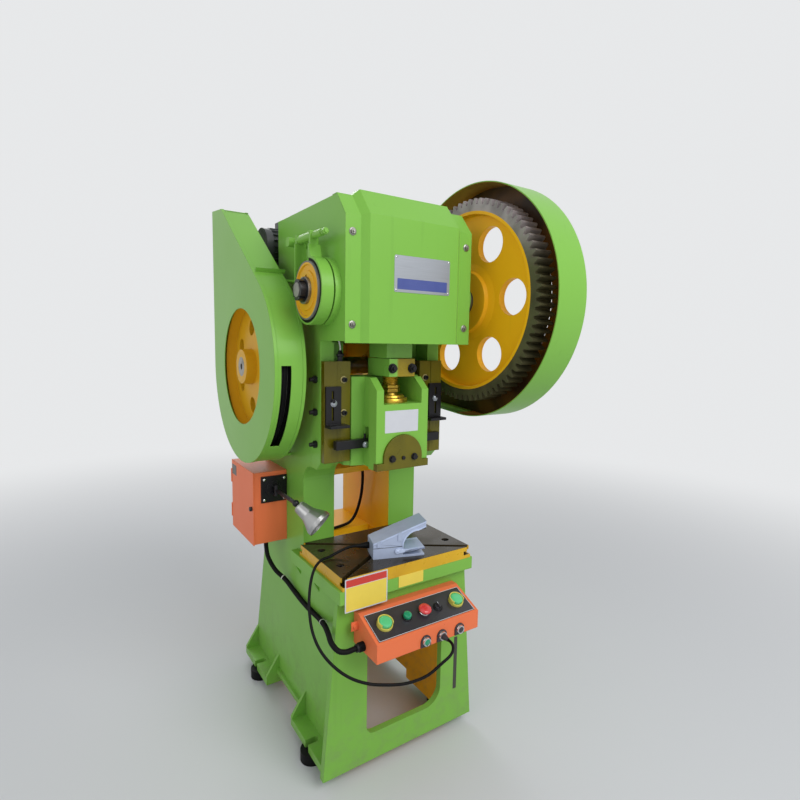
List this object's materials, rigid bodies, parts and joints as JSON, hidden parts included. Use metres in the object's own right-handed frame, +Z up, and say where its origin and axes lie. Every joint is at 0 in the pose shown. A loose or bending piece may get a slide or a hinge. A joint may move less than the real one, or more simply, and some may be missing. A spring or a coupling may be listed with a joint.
{
  "type": "mechanical stamping press",
  "caption": "Open-back C-frame power press: crank-driven slide in V gibs, guarded flywheel and gear, T-slotted bolster, two-hand control box and foot pedal.",
  "frame": {"origin": "midway between the four foundation slots, at the height of the underside of the cast feet", "axes": "+X from the flywheel to the gear; +Y to the machine's back; +Z up"},
  "size_m": [0.944, 1.2635, 2.2],
  "materials": {
    "green_paint": "glossy apple-green paint over cast and plate steel",
    "green_sheet": "glossy apple-green paint on sheet steel",
    "yellow_paint": "golden-yellow enamel",
    "orange_paint": "orange powder coat",
    "oiled_steel": "ground steel under amber rust-proof oil",
    "bright_steel": "turned and ground steel",
    "dark_steel": "black oxide",
    "bronze": "bronze and brass",
    "black_rubber": "matt rubber",
    "motor_grey": "cast aluminium, grey",
    "panel_black": "satin black laminate",
    "green_button": "glossy",
    "red_button": "glossy",
    "yellow_plastic": "glossy",
    "pedal_paint": "light blue-grey hammered paint on cast aluminium"
  },
  "bodies": {
    "press": {"frame_base": "green_paint", "frame_columns": "green_paint", "frame_head": "green_paint", "bolster_plate": "oiled_steel", "bolster_bolts": "dark_steel", "front_cover": "green_sheet", "cover_bolts": "bright_steel", "gib_left": "oiled_steel", "gib_right": "oiled_steel", "gib_strips": "oiled_steel", "gib_screws": "dark_steel", "knockout_stops": "dark_steel", "belt_guard": "green_sheet", "belt_guard_top": "green_sheet", "guard_stays": "green_sheet", "gear_guard": "green_sheet", "bearing_bushes": "bronze", "brake_band": "green_sheet", "brake_lining": "black_rubber", "brake_tensioner": "green_sheet", "motor": "motor_grey", "motor_base": "green_sheet", "drive_belts": "black_rubber", "electric_box": "orange_paint", "box_components": "panel_black", "lamp_base": "dark_steel", "control_box": "orange_paint", "control_fascia": "panel_black", "button_shrouds": "yellow_plastic", "panel_connectors": "panel_black", "conduit": "black_rubber", "throat_cable": "black_rubber", "pedal_housing": "pedal_paint", "pedal_gland": "panel_black", "pedal_cord": "black_rubber", "foot_pads": "black_rubber"},
    "crank": {"crankshaft": "bright_steel", "brake_drum": "yellow_paint", "crank_nut": "dark_steel", "gear_retainer": "bright_steel"},
    "gear": {"main_gear": "yellow_paint"},
    "drive_shaft": {"pinion_shaft": "bright_steel", "flywheel": "yellow_paint"},
    "pulley": {"motor_pulley": "bright_steel"},
    "ram": {"slide": "green_paint", "connecting_rod": "green_paint", "rod_studs": "dark_steel", "ball_screw": "bronze", "die_clamp": "oiled_steel", "clamp_bolts": "dark_steel"},
    "knockout": {"knockout_bar": "dark_steel"},
    "door": {"box_door": "orange_paint"},
    "lamp": {"lamp_arm": "dark_steel", "lamp_head": "bright_steel"},
    "palm_left": {"palm_button_left": "green_button"},
    "palm_right": {"palm_button_right": "green_button"},
    "start": {"start_button": "green_button"},
    "stop": {"emergency_stop": "red_button"},
    "selector": {"selector_switch": "panel_black"},
    "treadle": {"pedal_treadle": "pedal_paint"}
  },
  "joints": [
    {"name": "crank_turn", "type": "hinge", "parent": "press", "child": "crank", "pos_m": [0, -0.33, 1.696], "axis": [-1, 0, 0], "range_deg": [0, 180]},
    {"name": "gear_spin", "type": "hinge", "parent": "press", "child": "gear", "pos_m": [0.39, -0.33, 1.696], "axis": [1, 0, 0], "continuous": true},
    {"name": "flywheel_spin", "type": "hinge", "parent": "press", "child": "drive_shaft", "pos_m": [0, 0.08946, 1.4236], "axis": [1, 0, 0], "continuous": true},
    {"name": "motor_spin", "type": "hinge", "parent": "press", "child": "pulley", "pos_m": [-0.38, 0.26946, 1.92], "axis": [1, 0, 0], "continuous": true},
    {"name": "ram_slide", "type": "slide", "parent": "press", "child": "ram", "axis": [0, 0, -1], "range_m": [0, 0.08]},
    {"name": "knockout_lift", "type": "slide", "parent": "ram", "child": "knockout", "axis": [0, 0, 1], "range_m": [0, 0.04]},
    {"name": "door_swing", "type": "hinge", "parent": "press", "child": "door", "pos_m": [-0.4045, 0.339, 0.85], "axis": [0, 0, -1], "range_deg": [0, 110]},
    {"name": "lamp_swing", "type": "hinge", "parent": "press", "child": "lamp", "pos_m": [-0.318, 0.013, 0.925], "axis": [0, 0, -1], "range_deg": [-10, 70]},
    {"name": "palm_press_left", "type": "slide", "parent": "press", "child": "palm_left", "axis": [0, 0.3764, -0.9265], "range_m": [0, 0.005], "stiffness_N_per_m": 400, "springref_m": -0.003},
    {"name": "palm_press_right", "type": "slide", "parent": "press", "child": "palm_right", "axis": [0, 0.3764, -0.9265], "range_m": [0, 0.005], "stiffness_N_per_m": 400, "springref_m": -0.003},
    {"name": "start_press", "type": "slide", "parent": "press", "child": "start", "axis": [0, 0.3764, -0.9265], "range_m": [0, 0.003], "stiffness_N_per_m": 400, "springref_m": -0.003},
    {"name": "stop_press", "type": "slide", "parent": "press", "child": "stop", "axis": [0, 0.3764, -0.9265], "range_m": [0, 0.005]},
    {"name": "selector_turn", "type": "hinge", "parent": "press", "child": "selector", "pos_m": [0.072, -0.56056, 0.57434], "axis": [0, -0.3764, 0.9265], "range_deg": [-45, 45]},
    {"name": "treadle_press", "type": "hinge", "parent": "press", "child": "treadle", "pos_m": [-0.01231, -0.3965, 0.768], "axis": [0.3074, 0.9516, 0], "range_deg": [0, 8], "stiffness_Nm_per_rad": 3, "springref_deg": -14.32}
  ],
  "couplings": [
    {"joint": "ram_slide", "follows": "crank_turn", "m_per_rad": 0.025465},
    {"joint": "flywheel_spin", "follows": "gear_spin", "ratio": -3.5455},
    {"joint": "motor_spin", "follows": "gear_spin", "ratio": -20.268}
  ]
}
